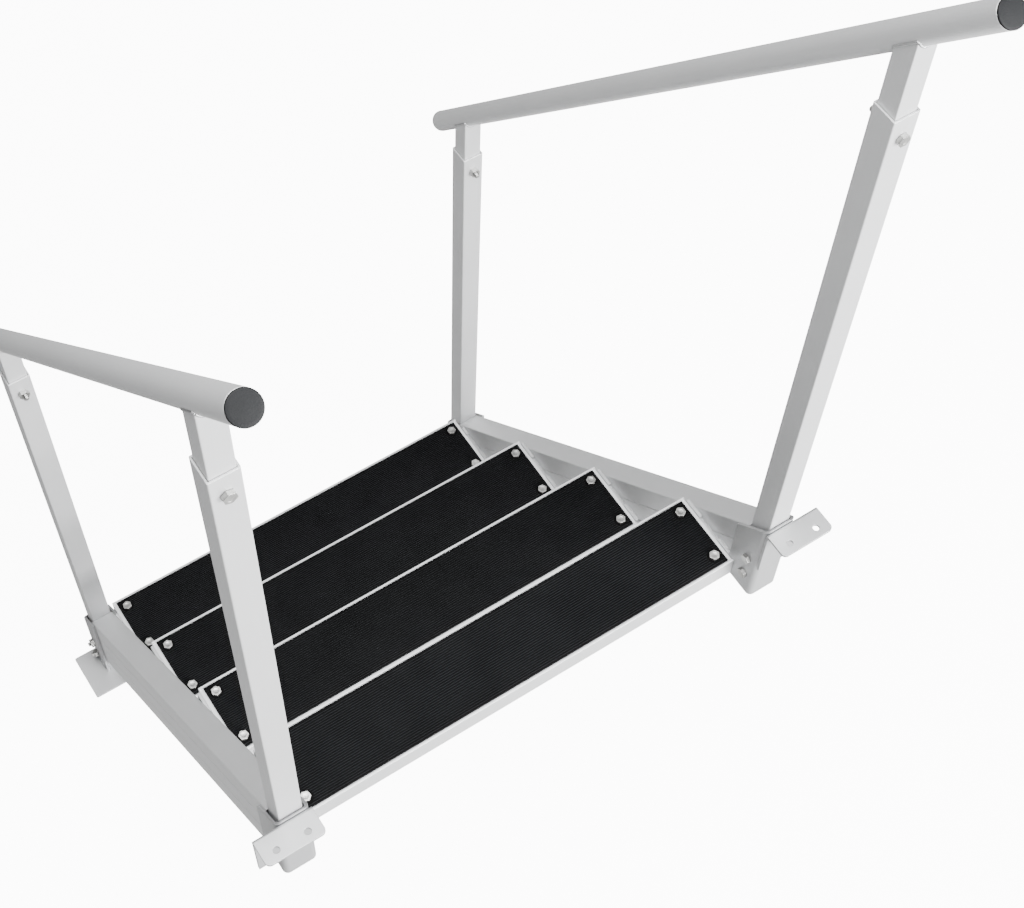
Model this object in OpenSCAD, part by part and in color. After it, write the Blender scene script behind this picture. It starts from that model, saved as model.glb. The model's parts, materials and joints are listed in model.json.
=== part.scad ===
// Four-step aluminium stair with telescoping handrails.
// X runs across the stair, +Y from the deck towards the ground end, +Z up.
// The origin is midway between the hanger plates, on the line of their screw
// holes, at the deck surface that the plates rest on.

/* [Stair] */
// Number of treads
steps = 4; // [2:1:5]
// Height from one tread to the next
rise = 197; // [160:1:210]
// Distance from one tread to the next along the stair, which sets its pitch with the rise
run = 193; // [150:1:230]
// Drop from the deck surface to the top of the first mat
first_drop = 132; // [120:1:200]
// Height of the lowest mat above the ground
last_rise = 182; // [175:1:210]

/* [Treads] */
// Width of the rubber mat
mat_w = 660; // [400:10:900]
// Depth of the rubber mat, front to back
mat_d = 107; // [90:1:150]
// Thickness of the mat, ribs included
mat_t = 4; // [3:0.5:6]
// Pitch of the mat's ribs
rib_pitch = 3.3; // [2.5:0.1:6]
// Bare metal left round the mat
rim = 4.5; // [3:0.5:10]
// Height of the tread channel
tread_h = 37; // [30:1:50]
// Wall of the tread channel
tread_wall = 3; // [2:0.5:4]
// Distance from the mat's end to the bolts
bolt_in_x = 13; // [11:1:40]
// Distance from the mat's front and back edges to the bolts
bolt_in_y = 14.5; // [12:0.5:30]

/* [Side rails] */
// Width of the stringer tube
stringer_w = 38; // [30:1:50]
// Depth of the stringer tube, square to its length
stringer_d = 100; // [80:1:120]
// Wall of the stringer tube
stringer_wall = 2.5; // [2:0.5:4]
// How far the stringer's top line stands above the deck where it would cross the screw line
stringer_lift = 32; // [15:1:40]

/* [Brackets] */
// Sheet thickness of the brackets, hangers and feet
sheet = 4; // [3:0.5:6]
// Outside bend radius of the post brackets
bend_r = 8; // [6:1:12]
// Length of a hanger plate along the deck edge
hanger_w = 80; // [60:1:120]
// Height of the hanger's upright flange
hanger_h = 92; // [50:1:120]
// Spacing of the two holes in one hanger
hole_pitch = 42; // [30:1:60]
// Diameter of the hanger holes
hole_d = 9; // [7:0.5:12]
// Side of the square foot plate
foot_w = 85; // [60:1:120]

/* [Handrail] */
// Outside width of the lower post tube
lower_w = 32; // [30:1:36]
// Outside width of the upper post tube
upper_w = 27; // [25:0.5:27.5]
// Wall of both post tubes
post_wall = 2; // [1.5:0.5:2.5]
// Height of the deck-end lower tube above the deck surface
deck_tube_top = 793; // [600:1:900]
// Height of the ground-end lower tube above the deck surface, negative when it is lower
foot_tube_top = -17; // [-120:1:60]
// Diameter of the handrail
rail_d = 30; // [28:1:40]
// Wall of the handrail
rail_wall = 2; // [1.5:0.5:3]
// Height of the handrail's axis above the deck-end lower tube
rail_above = 101; // [70:1:140]
// Pitch of the handrail in degrees
rail_pitch = 49; // [42:0.5:52]
// How far the handrail runs past the deck-end posts
deck_overhang = 85; // [40:1:150]
// How far the handrail runs past the ground-end posts
ground_overhang = 68; // [40:1:150]
// Upward travel of the handrail
travel = 100; // [60:5:140]

/* [Hidden] */

// Colours
alu = [0.78, 0.79, 0.80];
alu_dark = [0.70, 0.71, 0.72];
rubber = [0.08, 0.08, 0.09];
zinc = [0.85, 0.85, 0.83];
plastic = [0.25, 0.25, 0.27];

// Running gap between parts that slide in each other, and the gap between parts that only touch
fit_gap = 0.5;
touch = 0.15;
// A cutter reaches this far past what it cuts
over = 5;
big = 4000;

// M8 hexagon bolt: shank, across flats, head and nut height
m8 = [8, 13, 5.3, 6.5];
hole_gap = 0.6;

pitch = atan(rise / run);
// Bare metal past each end of a mat, and the ledge angle between the tread and the stringer
rim_end = 6;
// Side of the square whose corner cuts the grooves in the stringers
groove = 1.8;
ledge_t = 5;
half_clear = mat_w / 2 + rim_end + ledge_t;
stringer_x = half_clear + stringer_w / 2;
// The stringer's upright thickness, measured plumb
plumb = stringer_d / cos(pitch);

// Two ribs under each tread: places across its depth, thickness and drop
rib_places = [0.36, 0.64];
tread_rib = 2.5;
rib_drop = 18;

// Places along Y: web of the top bracket, posts, ends of the stringer
hanger_reach = 38;
hole_edge = 13;
web_y = hanger_reach - hole_edge;
post_gap = fit_gap;
top_post_y = web_y + sheet + post_gap + lower_w / 2;
stringer_y0 = top_post_y + lower_w / 2 + touch;
first_gap = 9.4;
front_y = stringer_y0 + first_gap;
// Distance between the deck-end and the ground-end posts
span = 726;
foot_post_y = top_post_y + span;
stringer_y1 = foot_post_y - lower_w / 2 - touch;
foot_web_y = foot_post_y + lower_w / 2 + post_gap;

// Heights: top of each mat, and the line along the top of the stringers
function mat_top(n) = -first_drop - (n - 1) * rise;
function tread_y(n) = front_y + (n - 1) * run;
function top_line(y) = stringer_lift - y * tan(pitch);
ground = mat_top(steps) - last_rise;
bracket_w = stringer_w + 2 * fit_gap;
top_bracket_low = mat_top(1) - tread_h - mat_t + 1;
foot_bracket_low = ground + sheet;
// The legs of the brackets lap the ends of the stringers
leg_lap = 16;
leg_reach = stringer_y0 + leg_lap;
foot_leg_y = stringer_y1 - leg_lap;
// The hangers stand a little outside the brackets
hanger_shift = 15;
hanger_x = stringer_x + hanger_shift;

// Handrail and telescoping posts: clamp bolt below the lower tube's top, and length of tube inside
clamp_drop = 30;
overlap = 240;
slot_w = m8[0] + 1;
rail_top_z = deck_tube_top + rail_above;
// Both ends' lower tubes have their two bolts at the same heights above the tube's foot
top_tube_low = top_bracket_low + 20;
foot_tube_low = ground + sheet + 2;
bolt_up = [20, 60];
top_bolt_z = [for (u = bolt_up) top_tube_low + u];
foot_bolt_z = [for (u = bolt_up) foot_tube_low + u];

// Even-sided solids and shared profiles
module hex_prism(af, h) cylinder(d = af / cos(30), h = h, $fn = 6);

// A rectangle with round corners, centred, from squares and circles so its arcs stay true
module round_rect(w, d, r) {
    square([w - 2 * r, d], center = true);
    square([w, d - 2 * r], center = true);
    for (sx = [-1, 1], sy = [-1, 1])
        translate([sx * (w / 2 - r), sy * (d / 2 - r)]) circle(r, $fn = 32);
}

// Square tube standing on Z = 0
module box_tube(w, d, wall, r, h) linear_extrude(h) difference() {
    round_rect(w, d, r);
    square([w - 2 * wall, d - 2 * wall], center = true);
}

// Extruded box rail with two fine grooves on each side face
module stringer_profile() difference() {
    round_rect(stringer_w, stringer_d, 2);
    square([stringer_w - 2 * stringer_wall, stringer_d - 2 * stringer_wall], center = true);
    for (sx = [-1, 1], k = [-1, 1])
        translate([sx * stringer_w / 2, k * stringer_d / 6]) rotate(45) square(groove, center = true);
}

// Sloping side rail, its ends cut plumb against the posts
module stringer(side) color(alu) {
    mid_y = (stringer_y0 + stringer_y1) / 2;
    intersection() {
        translate([side * stringer_x, mid_y, top_line(mid_y) - plumb / 2])
            rotate([-pitch, 0, 0]) rotate([90, 0, 0]) translate([0, 0, -big / 4])
                linear_extrude(big / 2) stringer_profile();
        translate([side * stringer_x - stringer_w, stringer_y0, -big / 2])
            cube([2 * stringer_w, stringer_y1 - stringer_y0, big]);
    }
}

// Post bracket: one bent sheet round three sides of the post, its web on Y = 0
module bracket_sheet(reach, low, high) {
    outer = bracket_w + 2 * sheet;
    translate([0, 0, low]) linear_extrude(high - low) difference() {
        union() {
            translate([-outer / 2 + bend_r, 0]) square([outer - 2 * bend_r, reach]);
            translate([-outer / 2, bend_r]) square([outer, reach - bend_r]);
            for (sx = [-1, 1]) translate([sx * (outer / 2 - bend_r), bend_r]) circle(bend_r, $fn = 48);
        }
        translate([-bracket_w / 2 + bend_r - sheet, sheet])
            square([bracket_w - 2 * (bend_r - sheet), reach]);
        translate([-bracket_w / 2, bend_r]) square([bracket_w, reach]);
        for (sx = [-1, 1])
            translate([sx * (bracket_w / 2 - bend_r + sheet), bend_r]) circle(bend_r - sheet, $fn = 48);
    }
}

// Everything above the line along the stringer's top face
module above_top_line() translate([0, 0, top_line(0)]) rotate([-pitch, 0, 0])
    translate([-big / 2, -big / 2, 0]) cube([big, big, big]);

// Holes right through along X, at a list of heights
module cross_holes(x, y, heights, d) for (z = heights)
    translate([x - big / 20, y, z]) rotate([0, 90, 0]) cylinder(d = d, h = big / 10, $fn = 32);

// Deck-end bracket: its web is against the hanger
module top_bracket(side) color(alu) difference() {
    translate([side * stringer_x, web_y, 0])
        bracket_sheet(leg_reach - web_y, top_bracket_low, stringer_lift);
    above_top_line();
    cross_holes(side * stringer_x, top_post_y, top_bolt_z, m8[0] + hole_gap);
}

// Ground-end bracket: its web faces away from the stair
module foot_bracket(side) color(alu) difference() {
    translate([side * stringer_x, foot_web_y + sheet, 0]) mirror([0, 1, 0])
        bracket_sheet(foot_web_y + sheet - foot_leg_y, foot_bracket_low, top_line(foot_leg_y) + over);
    above_top_line();
    cross_holes(side * stringer_x, foot_post_y, foot_bolt_z, m8[0] + hole_gap);
}

// Hanger: an angle whose flat flange rests on the deck and is screwed down
module hanger(side) color(alu_dark) {
    flange_z = sheet;
    r_in = 2;
    translate([side * hanger_x, 0, 0]) difference() {
        rotate([90, 0, 90]) translate([0, 0, -hanger_w / 2]) linear_extrude(hanger_w) difference() {
            union() {
                translate([web_y - hanger_reach, 0]) square([hanger_reach - sheet, flange_z]);
                translate([web_y - sheet - touch, flange_z - hanger_h])
                    square([sheet, hanger_h - sheet]);
                translate([web_y - sheet - touch - r_in, -r_in]) square([r_in, r_in]);
                translate([web_y - sheet - touch, 0]) circle(sheet, $fn = 48);
            }
            translate([web_y - sheet - touch - r_in, -r_in]) circle(r_in, $fn = 48);
            translate([web_y - touch, -big / 8]) square([over, big / 4]);
        }
        for (k = [-1, 1]) translate([k * hole_pitch / 2, 0, -over])
            cylinder(d = hole_d, h = sheet + 2 * over, $fn = 48);
        for (k = [-1, 1]) translate([k * hanger_w / 2, web_y - hanger_reach, 0]) corner_cut(k, 7);
    }
}

// Cuts a square corner of a flat plate to a round one; k says which end it is at
module corner_cut(k, r) difference() {
    translate([k > 0 ? -r : -over, -over, -over]) cube([r + over, r + over, sheet + 2 * over]);
    translate([-k * r, r, -2 * over]) cylinder(r = r, h = sheet + 4 * over, $fn = 48);
}

// Square plate under the ground-end bracket
module foot_plate(side) color(alu_dark) {
    inner = stringer_x - bracket_w / 2 - sheet;
    x0 = side > 0 ? inner : -inner - foot_w;
    translate([x0, foot_web_y + sheet - foot_w, ground])
        linear_extrude(sheet - touch) translate([foot_w / 2, foot_w / 2]) round_rect(foot_w, foot_w, 3);
}

// Tread channel: flat top with front and back skirts, a lip at each edge and two ribs beneath
module tread(n) color(alu) {
    depth = mat_d + 2 * rim;
    top = mat_top(n) - mat_t;
    len = mat_w + 2 * rim_end;
    lip = 2.5;
    foot = 12;
    difference() {
        translate([-len / 2, tread_y(n) - rim, top]) rotate([90, 0, 90]) linear_extrude(len) {
            translate([0, -tread_wall]) square([depth, tread_wall]);
            for (y = [0, depth - tread_wall]) {
                translate([y, mat_t - tread_h]) square([tread_wall, tread_h - mat_t]);
                translate([y, 0]) square([tread_wall, lip]);
            }
            translate([0, mat_t - tread_h]) square([foot, tread_wall]);
            translate([depth - foot, mat_t - tread_h]) square([foot, tread_wall]);
            for (k = rib_places)
                translate([k * depth - tread_rib / 2, -rib_drop]) square([tread_rib, rib_drop]);
        }
        bolt_places(n) translate([0, 0, -2 * tread_h])
            cylinder(d = m8[0] + hole_gap, h = 4 * tread_h, $fn = 32);
    }
}

// The four bolts of a tread, at the height of its mat
module bolt_places(n) for (sx = [-1, 1], fy = [0, 1])
    translate([sx * (mat_w / 2 - bolt_in_x),
               tread_y(n) + (fy ? mat_d - bolt_in_y : bolt_in_y), mat_top(n)]) children();

// Ribbed rubber mat, its ribs running across the stair
module mat(n) color(rubber) {
    ribs = floor(mat_d / rib_pitch) - 1;
    rib_w = rib_pitch * 0.55;
    rib_h = head_drop;
    margin = (mat_d - ribs * rib_pitch + rib_pitch - rib_w) / 2;
    base = mat_t - rib_h;
    outline = concat(
        [[touch, touch], [mat_d - touch, touch], [mat_d - touch, mat_t - 0.4],
         [mat_d - margin + 1, mat_t - 0.4], [mat_d - margin + 1, base]],
        [for (i = [ribs - 1:-1:0]) let (y = margin + i * rib_pitch)
            each [[y + rib_w, base], [y + rib_w - 0.3, mat_t], [y + 0.3, mat_t], [y, base]]],
        [[margin - 1, base], [margin - 1, mat_t - 0.4], [touch, mat_t - 0.4]]);
    difference() {
        translate([-mat_w / 2, tread_y(n), mat_top(n) - mat_t]) rotate([90, 0, 90])
            linear_extrude(mat_w) polygon(outline);
        bolt_places(n) translate([0, 0, -over]) cylinder(d = m8[0] + hole_gap, h = 2 * over, $fn = 32);
        bolt_places(n) translate([0, 0, -rib_h]) cylinder(d = 20, h = over, $fn = 48);
    }
}

// Angle that carries one end of a tread: upright leg on the stringer, flat leg under the tread.
// The upright leg stops short of the post brackets.
module ledge(side, n) color(alu_dark) {
    leg = ledge_t - 2 * touch;
    top = mat_top(n) - mat_t - tread_wall - touch;
    x0 = half_clear - ledge_t + touch;
    y0 = tread_y(n) + 2;
    length = mat_d - 4;
    leg_y0 = max(y0, leg_reach + fit_gap);
    leg_y1 = min(y0 + length, foot_leg_y - fit_gap);
    shelf_w = 36;
    notch = 40;
    mirror([side < 0 ? 1 : 0, 0, 0]) difference() {
        union() {
            translate([x0, leg_y0, mat_top(n) - tread_h - 1]) cube([leg, leg_y1 - leg_y0, tread_h]);
            translate([x0 - shelf_w, y0, top - shelf_t]) cube([shelf_w + touch, length, shelf_t]);
        }
        translate([x0 - over, y0 + (length - notch) / 2, mat_top(n) - 7]) cube([leg + 2 * over, notch, 20]);
        for (fy = [0, 1]) translate([mat_w / 2 - bolt_in_x,
            tread_y(n) + (fy ? mat_d - bolt_in_y : bolt_in_y), top - 2 * shelf_t])
            cylinder(d = m8[0] + hole_gap, h = 3 * shelf_t, $fn = 32);
        for (k = rib_places)
            translate([x0 - 2 * shelf_w, tread_y(n) - rim + k * (mat_d + 2 * rim) - tread_rib,
                top - 2 * shelf_t]) cube([2 * shelf_w, 2 * tread_rib, 3 * shelf_t]);
    }
}

// Bolt with its head's underside at z = 0; the corners of the head are chamfered
module hex_bolt(length) {
    intersection() {
        hex_prism(m8[1], m8[2]);
        translate([0, 0, m8[2] - 30]) cylinder(r1 = m8[1] / 2 + 30 * 1.7, r2 = m8[1] / 2, h = 30, $fn = 48);
    }
    translate([0, 0, -length]) cylinder(d = m8[0], h = length, $fn = 32);
}

// Nut standing on z = 0
module hex_nut() difference() {
    hex_prism(m8[1], m8[3]);
    translate([0, 0, -over]) cylinder(d = m8[0] + 2 * touch, h = m8[3] + 2 * over, $fn = 32);
}

shelf_t = 4;
shelf_low = tread_wall + mat_t + shelf_t + 2 * touch;
// Underside of a tread bolt's head, in the mat's round recess
head_drop = 1.2;
module tread_bolts(n) color(zinc) bolt_places(n) translate([0, 0, touch - head_drop]) hex_bolt(30);
module tread_nuts(n) color(zinc) bolt_places(n) translate([0, 0, -shelf_low - m8[3] - touch]) hex_nut();

// Square post tube bolted into its bracket, with the clamp bolt's hole near its top
module lower_tube(side, y, low, high, heights) color(alu) difference() {
    translate([side * stringer_x, y, low]) box_tube(lower_w, lower_w, post_wall, 1.5, high - low);
    cross_holes(side * stringer_x, y, heights, m8[0] + hole_gap);
    translate([side * stringer_x, y - lower_w, high - clamp_drop]) rotate([-90, 0, 0])
        cylinder(d = slot_w, h = 2 * lower_w, $fn = 32);
}

// Places of the post bolts, +Z outwards from the stair
module post_ends(heights, y) for (side = [-1, 1], z = heights)
    translate([side * stringer_x, y, z]) rotate([0, side * 90, 0]) children();

module all_post_ends() {
    post_ends(top_bolt_z, top_post_y) children();
    post_ends(foot_bolt_z, foot_post_y) children();
}

// Half the width over a bracket, which its bolts grip
half_grip = bracket_w / 2 + sheet + touch;
// Bolt heads sit on the stair side, nuts on the outside
module post_bolts() color(zinc) all_post_ends()
    translate([0, 0, -half_grip]) rotate([180, 0, 0]) hex_bolt(2 * half_grip + m8[3] + 4);
module post_nuts() color(zinc) all_post_ends() translate([0, 0, half_grip]) hex_nut();

// Washers that fill the gap between a post and its bracket
module post_spacers() color(zinc) all_post_ends() for (k = [-1, 1])
    translate([0, 0, k * (lower_w + bracket_w) / 4 - ((bracket_w - lower_w) / 2 - 2 * touch) / 2])
        difference() {
            cylinder(d = 20, h = (bracket_w - lower_w) / 2 - 2 * touch, $fn = 48);
            translate([0, 0, -over]) cylinder(d = m8[0] + hole_gap, h = 4 * over, $fn = 32);
        }

// Clamp bolts: heads towards the deck on the top posts, towards the ground end on the foot posts
clamp_reach = lower_w / 2 + touch;
module clamp_places() for (side = [-1, 1]) {
    translate([side * stringer_x, top_post_y, deck_tube_top - clamp_drop]) rotate([90, 0, 0]) children();
    translate([side * stringer_x, foot_post_y, foot_tube_top - clamp_drop]) rotate([-90, 0, 0]) children();
}
module clamp_bolts() color(zinc) clamp_places()
    translate([0, 0, clamp_reach]) hex_bolt(2 * clamp_reach + m8[3] + 6);
module clamp_nuts() color(zinc) clamp_places()
    translate([0, 0, -clamp_reach - m8[3]]) hex_nut();

// A place on the handrail's axis, with its own +Z along the rail towards the deck end
module on_rail(side, y) translate([side * stringer_x, y, rail_top_z - (y - top_post_y) * tan(rail_pitch)])
    rotate([90 - rail_pitch, 0, 0]) children();

// Lengths of handrail on each side of the deck-end posts, along the rail
rail_up = deck_overhang / cos(rail_pitch);
rail_down = (span + ground_overhang) / cos(rail_pitch);
// Round tube across the tops of two posts
module handrail(side) color(alu) on_rail(side, top_post_y) difference() {
    translate([0, 0, -rail_down]) cylinder(d = rail_d, h = rail_up + rail_down, $fn = 96);
    translate([0, 0, -rail_down - over])
        cylinder(d = rail_d - 2 * rail_wall, h = rail_up + rail_down + 2 * over, $fn = 96);
}

// Plastic end cap: a disc as wide as the rail, and a plug inside it
module rail_cap(side, up) color(plastic) on_rail(side, top_post_y)
    translate([0, 0, up ? rail_up : -rail_down]) mirror([0, 0, up ? 0 : 1]) {
        rotate_extrude($fn = 64) polygon([[0, touch], [rail_d / 2, touch], [rail_d / 2, 2.2],
            [rail_d / 2 - 0.9, 3], [0, 3]]);
        translate([0, 0, -18]) cylinder(r = rail_d / 2 - rail_wall - touch, h = 18 + touch, $fn = 64);
    }

// Telescoping tube: saddle cut to the handrail, slotted where the clamp bolt passes
module upper_tube(side, y, tube_top) color(alu) difference() {
    axis_z = rail_top_z - (y - top_post_y) * tan(rail_pitch);
    translate([side * stringer_x, y, tube_top - overlap])
        box_tube(upper_w, upper_w, post_wall, 1.2, axis_z - tube_top + overlap);
    on_rail(side, y) {
        translate([0, 0, -big / 20]) cylinder(d = rail_d + 2 * touch, h = big / 10, $fn = 96);
        translate([-upper_w, 0, -3 * upper_w]) cube([2 * upper_w, 3 * upper_w, 6 * upper_w]);
    }
    translate([side * stringer_x - slot_w / 2, y - lower_w, tube_top - clamp_drop - travel])
        cube([slot_w, 2 * lower_w, travel]);
    for (z = [0, -travel]) translate([side * stringer_x, y - lower_w, tube_top - clamp_drop + z])
        rotate([-90, 0, 0]) cylinder(d = slot_w, h = 2 * lower_w, $fn = 32);
}

stringer(-1);  // stringer_left
stringer(1);  // stringer_right
top_bracket(-1);  // top_bracket_left
top_bracket(1);  // top_bracket_right
foot_bracket(-1);  // foot_bracket_left
foot_bracket(1);  // foot_bracket_right
hanger(-1);  // hanger_left
hanger(1);  // hanger_right
foot_plate(-1);  // foot_plate_left
foot_plate(1);  // foot_plate_right
for (n = [1:steps]) {
    tread(n);
    mat(n);
    ledge(-1, n);
    ledge(1, n);
    tread_bolts(n);
    tread_nuts(n);
}
lower_tube(-1, top_post_y, top_tube_low, deck_tube_top, top_bolt_z);  // lower_tube_top_left
lower_tube(1, top_post_y, top_tube_low, deck_tube_top, top_bolt_z);  // lower_tube_top_right
lower_tube(-1, foot_post_y, foot_tube_low, foot_tube_top, foot_bolt_z);  // lower_tube_foot_left
lower_tube(1, foot_post_y, foot_tube_low, foot_tube_top, foot_bolt_z);  // lower_tube_foot_right
post_bolts();
post_nuts();
post_spacers();
clamp_bolts();
clamp_nuts();
handrail(-1);  // handrail_left
handrail(1);  // handrail_right
upper_tube(-1, top_post_y, deck_tube_top);  // upper_tube_top_left
upper_tube(1, top_post_y, deck_tube_top);  // upper_tube_top_right
upper_tube(-1, foot_post_y, foot_tube_top);  // upper_tube_foot_left
upper_tube(1, foot_post_y, foot_tube_top);  // upper_tube_foot_right
rail_cap(-1, true);  // rail_cap_top_left
rail_cap(1, true);  // rail_cap_top_right
rail_cap(-1, false);  // rail_cap_foot_left
rail_cap(1, false);  // rail_cap_foot_right
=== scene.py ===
"""Looks for the four-step stair: finishes, weld beads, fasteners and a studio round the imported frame."""
import json
import math

import bpy
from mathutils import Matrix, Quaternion, Vector

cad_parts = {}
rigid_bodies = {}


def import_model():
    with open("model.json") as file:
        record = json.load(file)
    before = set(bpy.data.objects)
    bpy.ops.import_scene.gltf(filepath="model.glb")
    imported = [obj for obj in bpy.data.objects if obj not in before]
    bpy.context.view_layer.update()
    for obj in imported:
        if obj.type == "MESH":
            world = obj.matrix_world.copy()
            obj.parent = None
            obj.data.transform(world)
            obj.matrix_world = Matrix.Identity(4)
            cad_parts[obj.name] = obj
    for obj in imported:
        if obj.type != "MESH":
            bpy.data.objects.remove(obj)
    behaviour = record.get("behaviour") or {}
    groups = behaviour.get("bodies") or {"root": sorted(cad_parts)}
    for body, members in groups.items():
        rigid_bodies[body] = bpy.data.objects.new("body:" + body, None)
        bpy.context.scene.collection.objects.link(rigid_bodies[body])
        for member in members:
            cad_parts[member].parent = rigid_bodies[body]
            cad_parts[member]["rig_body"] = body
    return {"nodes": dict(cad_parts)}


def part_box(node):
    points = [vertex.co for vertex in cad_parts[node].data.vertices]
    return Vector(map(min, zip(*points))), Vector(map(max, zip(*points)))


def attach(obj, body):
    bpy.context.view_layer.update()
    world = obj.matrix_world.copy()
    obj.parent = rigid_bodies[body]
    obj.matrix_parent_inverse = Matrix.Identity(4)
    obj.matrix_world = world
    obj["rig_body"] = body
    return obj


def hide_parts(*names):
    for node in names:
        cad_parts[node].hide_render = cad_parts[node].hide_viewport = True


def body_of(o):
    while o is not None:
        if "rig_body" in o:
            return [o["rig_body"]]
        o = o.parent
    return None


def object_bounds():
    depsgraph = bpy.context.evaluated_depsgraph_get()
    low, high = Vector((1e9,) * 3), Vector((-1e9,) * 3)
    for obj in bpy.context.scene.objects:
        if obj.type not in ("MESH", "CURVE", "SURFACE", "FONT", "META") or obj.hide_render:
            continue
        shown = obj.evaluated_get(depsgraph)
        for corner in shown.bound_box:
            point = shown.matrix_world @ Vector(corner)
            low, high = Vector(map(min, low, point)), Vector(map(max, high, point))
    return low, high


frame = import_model()

bl_info = {
    "name": "Deck stair looks",
    "version": (1, 0, 0),
    "blender": (4, 5, 0),
    "location": "View3D > Sidebar > Stair",
    "description": "Finishes, fasteners and studio for a deck stair with adjustable handrails",
    "category": "Object",
}

NODES = frame["nodes"]
ROOT = "frame"
SIDES = ("left", "right")
ENDS = ("top", "foot")
STEPS = range(1, 5)
HANDRAILS = {side: side + "_handrail" for side in SIDES}
cad_low, cad_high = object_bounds()


# ---- Places read from the frame ----------------------------------------------------------------

def centre(node):
    low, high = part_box(node)
    return (low + high) / 2


def stair_slope():
    """Fall of the treads for each metre along the stair."""
    first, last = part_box("mat_1")[1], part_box("mat_4")[1]
    return (first.z - last.z) / (last.y - first.y)


def rail_direction(side):
    """Unit vector up the handrail, towards the deck."""
    top, foot = centre("rail_cap_top_" + side), centre("rail_cap_foot_" + side)
    return (top - foot).normalized()


def rail_end(side, out):
    """Centre of the end face of a handrail, at the end that out points to."""
    low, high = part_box("handrail_" + side)
    length = (high.y - low.y - 2 * RAIL_RADIUS * abs(out.z)) / abs(out.y)
    return (low + high) / 2 + out * length / 2


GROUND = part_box("foot_plate_left")[0].z
STAIR_PITCH = math.atan(stair_slope())
RAIL_PITCH = math.asin(rail_direction("left").z)
RAIL_RADIUS = (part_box("handrail_left")[1].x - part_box("handrail_left")[0].x) / 2


# ---- Small proportions, as shares of the size each is used with --------------------------------

HEX_FLAT = 0.553            # circle that the chamfer leaves on a hexagon, of the width across flats
WASHER_FACE = 0.08          # height of the washer face, of the head
WASHER_RADIUS = 0.475       # radius of the washer face, of the width across flats
DISH_RADIUS = 0.31          # dish in a bolt head, of the width across flats
DISH_FLOOR = 0.90           # height of the dish's floor, of the head
DISH_SINK = 0.03            # how much deeper its middle is, of the head
DISH_INSET = 0.06           # width of its sloping rim, of the width across flats
BORE = 1.02                 # a nut's bore, of the shank
THREAD_DEPTH = 0.5          # of the pitch
RIDGE_RADIUS = 0.44         # radius of the thread's ridge, of the pitch
CAP_ROUNDING = 0.32         # edge radius of an end cap, of its thickness
CAP_RINGS = (0.198, 0.27, 0.216)    # steps in from a cap's edge to its middle, of the rail's radius
CAP_DOME = 0.05             # rise at each step, of the thickness
PLUG_RADIUS = 0.85          # plug inside the rail, of the rail's radius
RIPPLE_LENGTH = 0.80        # half length of a weld ripple, of the weld's pitch
SADDLE_REACH = 0.90         # furthest a saddle bead is from the post's axis, of the rail's radius
SADDLE_LEAN = 0.6           # how far a saddle bead leans down, for each unit out
BEAD_PROUD = 0.12           # how far a saddle bead stands off the wall, of its width
FACE_PROUD = 0.2            # how far a hanger's or plate's bead stands off the face, of its width
SIDE_PROUD = 0.15           # how far a bead stands off the side of a bracket or ledge, of its width
LEDGE_BEAD = 0.8            # width of a ledge's beads, of the usual one


# ---- Lengths in metres, and places -------------------------------------------------------------

PLUG_LENGTH = 0.018
LONG_STUB, SHORT_STUB = 0.016, 0.014    # threaded ends of the bolts
POST_CORNER = 0.0012                    # what a saddle bead leaves free at a post's corners
HANGER_WELD = (0.0035, 0.004, 0.03)     # inset from the bracket's sides, and from its two ends
PLATE_WELD = (0.006, 0.010)             # start and stop short of the bracket's two edges
LEDGE_WELDS = ((0.006, 0.031, 0.0002), (0.035, 0.068, 0.0058))  # start, end and depth of each bead
FLOOR_SIZE = 60
KEY_PLACE, KEY_SIZE = (1.2, -3.0, 1.3), (3.0, 2.4)
FILL_PLACE, FILL_SIZE = (-0.2, 0.1, 3.7), (2.4, 2.4)
UP = Vector((0, 0, 1))
CHAMFER = math.radians(30)
BOLT_SPIN, NUT_SPIN = (37, 11), (29, 5)     # degrees from one to the next, and of the first


# ---- Sizes and colours a user would change -----------------------------------------------------

class StairSizes(bpy.types.PropertyGroup):
    """Sizes of the pieces that finish the frame."""
    weld_width: bpy.props.FloatProperty(
        name="Weld width", description="Width of a weld bead", default=0.0028, unit="LENGTH")
    head_height: bpy.props.FloatProperty(
        name="Bolt head height", description="Height of a hexagon head", default=0.0053,
        unit="LENGTH")
    across_flats: bpy.props.FloatProperty(
        name="Across flats", description="Width of bolt heads and nuts across their flats",
        default=0.013, unit="LENGTH")
    nut_height: bpy.props.FloatProperty(
        name="Nut height", description="Height of a nut", default=0.0065, unit="LENGTH")
    shank: bpy.props.FloatProperty(
        name="Shank", description="Diameter of the bolts over their threads", default=0.008,
        unit="LENGTH")
    weld_pitch: bpy.props.FloatProperty(
        name="Weld ripple", description="Distance between the ripples of a weld", default=0.0017,
        unit="LENGTH")
    cap_thickness: bpy.props.FloatProperty(
        name="Cap thickness", description="Thickness of a handrail end cap", default=0.003,
        unit="LENGTH")
    thread_pitch: bpy.props.FloatProperty(
        name="Thread pitch", description="Pitch of the bolts' threads", default=0.00125, unit="LENGTH")


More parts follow.
